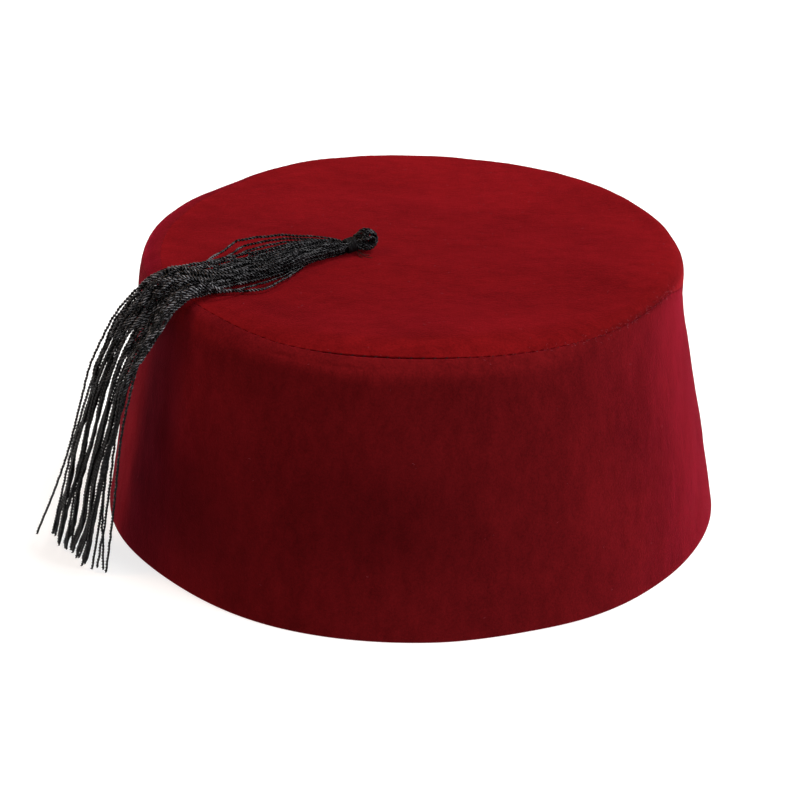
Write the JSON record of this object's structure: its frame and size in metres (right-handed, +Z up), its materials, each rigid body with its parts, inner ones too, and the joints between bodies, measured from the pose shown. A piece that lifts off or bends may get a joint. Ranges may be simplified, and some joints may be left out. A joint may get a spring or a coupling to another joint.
{
  "type": "fez hat",
  "caption": "Stiff round hat of velvet cloth, a low cone with a flat top, and a cord tassel that hangs over its edge.",
  "frame": {"origin": "on the surface that the hat stands on, below the middle of the whole, hat and tassel", "axes": "+Z up out of the top, -Y the front, -X the side where the tassel hangs"},
  "size_m": [0.2026, 0.1894, 0.092],
  "materials": {
    "velvet": "matte velvet nap",
    "tassel_cord": "glossy twisted rayon cord"
  },
  "bodies": {
    "root": {"side_band": "velvet", "top_disc": "velvet", "tassel_head": "tassel_cord", "tassel_binding": "tassel_cord", "tassel_skirt": "tassel_cord"}
  },
  "joints": []
}
